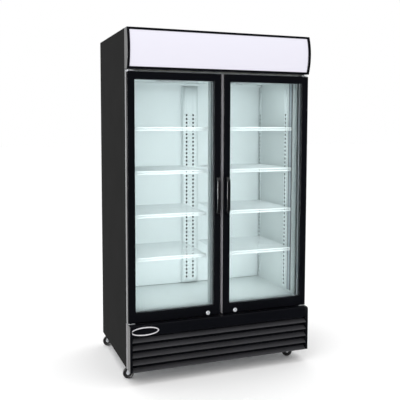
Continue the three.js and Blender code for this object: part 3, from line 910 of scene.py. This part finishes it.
def ceiling_fans():
    lip = box((-506, 506), (488, 489.2), (1634, 1649.6))
    piece("fan_panel_lip", lip, "white_steel", "cabinet", 0.3)
    for index, (x, y) in enumerate(FANS):
        side = SIDES[index][0]
        dress(f"evaporator_fan_{side}", "black_gloss", 0.4)
        guard = [
            lathe(torus_profile(r, 1.3), 64, "z", (x, y, 1643)) for r in (22, 38, 54, 70, 86, 104)
        ]
        for k in range(6):
            a = math.pi * k / 3
            start = (x + 20 * math.cos(a), y + 20 * math.sin(a), 1644.6)
            stop = (x + 106 * math.cos(a), y + 106 * math.sin(a), 1644.6)
            guard.append(tube([start, stop], 1.5, 8))
        piece(f"fan_guard_{side}", merged(*guard), "zinc", "cabinet")
        pot = [(0, 14), (28, 14), (31, 18), (31, 52), (26, 58), (0, 58)]
        motor = lathe(pot, 40, "z", (x, y, 1660))
        piece(f"fan_motor_{side}", motor, "compressor_paint", "cabinet")


def led_strips():
    front, back, bottom, top = (LED[k] for k in ("front", "back", "bottom", "top"))
    for side, sign in SIDES:
        wall = sign * (LINER_X - 0.3)
        edge, groove = wall - sign * 4.0, wall - sign * 2.5
        channel = [
            (wall, front), (edge, front + 2), (edge, front + 8), (groove, front + 10),
            (groove, back - 10), (edge, back - 8), (edge, back - 2), (wall, back),
        ]
        piece(
            f"led_channel_{side}", prism("z", channel, bottom, top), "trim_grey", "cabinet",
            0.3, stands_for=(f"led_strip_{side}",), slot="aluminium",
        )
        foot, crown = wall - sign * 2.6, wall - sign * 4.2
        lens = [(foot, front + 11), (crown, front + 13), (crown, back - 13), (foot, back - 11)]
        piece(
            f"led_lens_{side}", prism("z", lens, bottom + 4, top - 4), "led", "cabinet", 0.3,
            slot="light_panel",
        )


# ---------------------------------------------------------------- doors
def door(side, sign):
    """One door with its frame, panes, gasket, handle and lock, and the hinges it hangs on."""
    body = f"{side}_door"
    x = sorted((sign * DOOR["inner"], sign * DOOR["outer"]))
    z = (DOOR["bottom"], DOOR["top"])
    front, back = DOOR["front"], DOOR["back"]
    to_window = (-WINDOW_STILE, -WINDOW_STILE, -WINDOW_BOTTOM, -WINDOW_TOP)

    def from_window(grow):
        return tuple(base + grow for base in to_window)

    channel = [
        (even(0.0), back), (even(0.0), front + 6.4), (even(-1.0), front + 6.4), (even(-1.0), back),
    ]
    piece(f"edge_channel_{side}", border(x, z, channel), "door_edge", body, slot="aluminium")
    # A grey strip on the door's outer side behind the black cover: a painted highlight where the
    # front corner catches light.
    outside = sign * (DOOR["outer"] + 0.4)
    strip = box((sign * DOOR["outer"], outside), (front + 17, back - 0.5), (z[0] + 1, z[1] - 1))
    piece(f"edge_corner_highlight_{side}", strip, "trim_grey", body, slot="aluminium")
    cover = box((sign * DOOR["outer"], outside), (front + 6.4, front + 17), (z[0] + 1, z[1] - 1))
    piece(f"edge_cover_{side}", cover, "black_paint", body)
    radius, lip = 5.0, 1.6
    sections = [
        (even(-1.1), back), (even(-1.1), front + 6.2), (even(0.0), front + 6.2),
        (even(0.0), front + radius),
    ]
    for i in range(1, 7):
        a = math.radians(15 * i)
        sections.append((even(-radius * (1 - math.cos(a))), front + radius * (1 - math.sin(a))))
    for i in range(4):
        a = math.radians(30 * i)
        sections.append((from_window(lip * (1 - math.sin(a))), front + lip * (1 - math.cos(a))))
    sections += [
        (from_window(0), GLASS_FRONT - 0.5), (from_window(11.8), GLASS_FRONT - 0.5),
        (from_window(11.8), GLASS_BACK + 0.5), (from_window(0), GLASS_BACK + 0.5),
        (from_window(0), back + 1.2), (from_window(1.2), back),
    ]
    piece(
        f"frame_{side}", border(x, z, sections), "black_gloss", body,
        stands_for=(f"door_frame_{side}",),
    )

    edge = WINDOW_STILE - 12 + 0.8
    glass_x = (x[0] + edge, x[1] - edge)
    glass_z = (z[0] + WINDOW_BOTTOM - 11.2, z[1] - WINDOW_TOP + 11.2)
    for place, near in (("outer", GLASS_FRONT), ("inner", GLASS_BACK - PANE)):
        piece(
            f"pane_{place}_{side}", box(glass_x, (near, near + PANE), glass_z), "glass", body,
            0.5, 1, stands_for=(f"door_glass_{side}",) if place == "outer" else (),
        )
    spacer = [
        (even(-0.5), GLASS_FRONT + PANE + 0.2), (even(-11.0), GLASS_FRONT + PANE + 0.2),
        (even(-11.6), GLASS_FRONT + PANE + 0.9), (even(-11.6), GLASS_BACK - PANE - 0.9),
        (even(-11.0), GLASS_BACK - PANE - 0.2), (even(-0.5), GLASS_BACK - PANE - 0.2),
    ]
    piece(
        f"glass_spacer_{side}", border(glass_x, glass_z, spacer), "spacer_grey", body,
        slot="aluminium",
    )
    near, far = GLASS_BACK + 0.7, back - 0.1
    lining = [
        (from_window(0.2), near), (from_window(-0.8), near), (from_window(-0.8), far),
        (from_window(0.2), far),
    ]
    piece(f"window_lining_{side}", border(x, z, lining), "door_edge", body, slot="aluminium")
    seal = [
        (even(-12.6), -10.9), (even(-30.6), -10.9), (even(-30.6), -9.6), (even(-28.2), -8.8),
        (even(-30.2), -7.4), (even(-28.2), -6.0), (even(-29.8), -4.6), (even(-28.6), -3.5),
        (even(-14.6), -3.5), (even(-13.4), -4.6), (even(-15.0), -6.0), (even(-13.0), -7.4),
        (even(-15.0), -8.8), (even(-12.6), -9.6),
    ]
    piece(
        f"gasket_{side}", border(x, z, seal), "seal_rubber", body, angle=25,
        stands_for=(f"door_gasket_{side}",),
    )
    handle(side, sign, body)
    lock(side, sign)
    hinges(side, sign)


def handle(side, sign, body):
    """A bar whose two ends bend in to the door."""
    foot = DOOR["front"] - 0.3

    def bend(reach, z_foot, z_top, steps=14):
        turns = [math.pi / 2 * i / steps for i in range(steps + 1)]
        return [
            (foot + (reach - foot) * math.sin(a), z_foot + (z_top - z_foot) * (1 - math.cos(a)))
            for a in turns
        ]

    bottom, top, front = HANDLE["bottom"], HANDLE["top"], HANDLE["front"]
    inner = front + 12
    outline = bend(front, bottom, bottom + 34) + bend(front, top, top - 34)[::-1]
    outline += bend(inner, top - 20, top - 44) + bend(inner, bottom + 20, bottom + 44)[::-1]
    middle, half = sign * HANDLE["x"], HANDLE["width"] / 2
    piece(
        f"handle_{side}", prism("x", outline, middle - half, middle + half), "handle_gloss", body,
        6, 6, stands_for=(f"door_handle_{side}",), slot="black_gloss",
    )


def lock(side, sign):
    x, z = sign * LOCK[0], LOCK[1]
    front = DOOR["front"]
    profile = [
        (0, front - 3.4), (6.6, front - 3.4), (7.2, front - 3.0), (7.6, front - 3.0),
        (8.2, front - 4.4), (10.2, front - 5), (11.4, front - 4.2), (12, front - 2.6),
        (12, front - 0.3), (0, front - 0.3),
    ]
    piece(
        f"lock_barrel_{side}", lathe(profile, 56, "y", (x, 0, z)), "zinc", f"{side}_lock",
        stands_for=(f"door_lock_{side}",),
    )
    slit = rounded((x - 0.9, x + 0.9), (z - 4.4, z + 4.4), 0.85, 4)
    keyway = prism("y", slit, front - 3.6, front - 3.2)
    piece(f"lock_keyway_{side}", keyway, "shadow", f"{side}_lock")


def hinges(side, sign):
    """A bracket and a washer below and above a door; each row gives their Z from and to."""
    for place, plate, leg, washer in (
        ("bottom", (268, 271.2), (268, 281), (271.2, 271.9)),
        ("top", (1672.5, 1676), (1672.5, 1681.2), (1669.2, 1672.4)),
    ):
        x = sorted((sign * 558, sign * 520))
        parts = [
            prism("z", rounded(x, (-50, -3.3), 5), *plate),
            box(x, (-5.3, -3.3), leg),
        ]
        piece(
            f"hinge_{place}_{side}", merged(*parts), "zinc", "cabinet", 0.5,
            stands_for=(f"hinge_bracket_{place}_{side}",),
        )
        hole, rim = 4.2, 9
        low, high = washer
        section = [(hole, low), (rim, low), (rim, high), (hole, high), (hole, low)]
        ring = lathe(section, 32, "z", (sign * HINGE[0], HINGE[1], 0))
        piece(f"hinge_washer_{place}_{side}", ring, "zinc", "cabinet")


# ---------------------------------------------------------------- casters
def caster(name, angle):
    """A swivel caster, drawn round its own swivel axis and turned to its resting angle."""
    side = -1 if name.endswith("left") else 1
    depth = CASTER_FRONT if name.startswith("front") else CASTER_BACK
    turn = Matrix.Rotation(math.radians(angle), 4, "Z")
    at = Matrix.Translation((side * CASTER_X, depth, -3)) @ turn
    body = f"caster_{name}"
    race = [(0, -0.4), (18, -0.4), (22, -1.2), (23, -3), (22.4, -5), (20, -6.2), (0, -6.2)]
    leg = [(-18, -3), (24, -3), (30, -12), (36, -33), (37.5, -40.5), (34, -46), (28, -48)]
    leg += [(22, -46), (18.5, -40.5), (8, -26), (-18, -13)]
    crown = prism("z", rounded((-18, 24), (-17.1, 17.1), 4), -6.3, -3.6)
    half_hub, gap, sheet = 12, 2.6, 2.5
    inside = half_hub + gap
    legs = [prism("y", leg, -inside - sheet, -inside), prism("y", leg, inside, inside + sheet)]
    fork = merged(lathe(race, 48), crown, *legs)
    piece(
        f"fork_{name}", moved(fork, at), "zinc", body, 0.7, 2,
        stands_for=(f"caster_fork_{name}",),
    )
    head = [(0, 0), (6.5, 0), (6.9, 0.8), (6.9, 2.6), (6, 3.4), (0, 3.4)]
    nut = lathe(head, 6, "y")
    bolt = []
    for sign in (-1, 1):
        flip = Matrix.Scale(sign, 4, (0, 1, 0))
        outward = Matrix.Translation((TRAIL, sign * (inside + sheet), AXLE_Z))
        bolt.append(moved(nut, outward @ flip))
    end, shank = inside + 2, 3.6
    bolt.append(
        lathe([(0, -end), (shank, -end), (shank, end), (0, end)], 24, "y", (TRAIL, 0, AXLE_Z))
    )
    piece(f"axle_{name}", moved(merged(*bolt), at), "zinc", body, 0.3)
    half_wheel = [
        (4.6, -13.6), (10, -13.6), (11, -13), (11.6, -9.5), (14, -8.6), (22, -8.6),
        (24.5, -10.4), (27, -11.4), (29.4, -11), (31, -9.2), (WHEEL_RADIUS, -6.5),
    ]
    profile = half_wheel + [(r, -w) for r, w in reversed(half_wheel)] + half_wheel[:1]
    wheel = lathe(profile, 72, "y", (TRAIL, 0, AXLE_Z))
    piece(
        f"wheel_{name}", moved(wheel, at), "wheel_rubber", f"wheel_{name}",
        stands_for=(f"caster_wheel_{name}",), angle=50,
    )
    head = [(0, -6.6), (4.2, -6.6), (4.7, -6), (4.7, -3.2), (6.2, -3.2), (6.2, -3.0), (0, -3.0)]
    bolts = [
        lathe(head, 6, "z", (side * CASTER_X + dx, depth + dy, 0))
        for dx in (-30, 30)
        for dy in (-22, 22)
    ]
    piece(f"caster_bolts_{name}", merged(*bolts), "zinc", "cabinet")
    if name.startswith("front"):
        lever = [
            (-24.6, -4.8), (-40, -9), (-54, -15.6), (-58, -15), (-59, -18), (-52, -21),
            (-40, -16.5), (-24.6, -12),
        ]
        slope = 0.42
        rib = [(-52, -14.6), (-50, -13.7), (-50, -12.4), (-52, -13.3)]
        ribs = [
            prism("y", [(u + d, z + d * slope) for u, z in rib], -10, 10) for d in (0, 5, 10)
        ]
        pedal = merged(prism("y", lever, -12, 12), *ribs)
        piece(
            f"pedal_{name}", moved(pedal, at), "black_gloss", f"brake_{name}", 1.2, 3,
            stands_for=(f"brake_pedal_{name}",),
        )


# ---------------------------------------------------------------- assembly
def floor():
    """A pale floor that shiny fronts don't mirror and that isn't seen through glass."""
    mesh = bpy.data.meshes.new("floor")
    reach = 40
    corners = [(-reach, -reach, 0), (reach, -reach, 0), (reach, reach, 0), (-reach, reach, 0)]
    mesh.from_pydata(corners, [], [(0, 1, 2, 3)])
    ground = bpy.data.objects.new("floor", mesh)
    bpy.context.scene.collection.objects.link(ground)
    mesh.materials.append(
        finish("floor", (253, 253, 253), 0.9, specular=0.0, mottle=0.004, patch=0.5, depth=0.0)
    )
    ground.visible_glossy = False
    ground.visible_transmission = False


def lights():
    """Soft studio light, a strip for bright edges to mirror, and the light in the cold room."""
    soft_box("key", (-2.6, -4.2, 4.2), (0, 0, 0.9), (3.5, 3.5), 60, hidden=True)
    edge = soft_box("edge_strip", (-6.0, -2.2, 1.15), (0, -0.3, 1.1), (1.6, 1.9), 700)
    edge.visible_diffuse = False
    edge.visible_transmission = False
    soft_box("top", (0, 0.3, 5.0), (0, 0, 0), (4, 4), 60, hidden=True)
    for _, sign in SIDES:
        lamp = soft_box(
            f"door_light_{sign}", (sign * 0.285, -0.282, 1.045), (sign * 0.285, 1, 1.045),
            (0.40, 1.24), 2.9, DAYLIGHT, hidden=True,
        )
        lamp.data.spread = math.radians(150)
    soft_box(
        "ceiling_light", (0, -0.12, 1.70), (0, 0.05, 0.4), (0.9, 0.14), 0.6, DAYLIGHT,
        hidden=True,
    )
    soft_box(
        "floor_light", (0, -0.02, 0.66), (0, -0.01, 0.0), (0.9, 0.3), 0.7, DAYLIGHT,
        hidden=True,
    )


camera()
world()
lights()
floor()
case()
canopy()
machine_bay()
pilasters()
shelves()
ceiling_fans()
led_strips()
for side, sign in SIDES:
    door(side, sign)
for name, angle in CASTERS.items():
    caster(name, angle)

bpy.context.scene.view_settings.view_transform = "Standard"
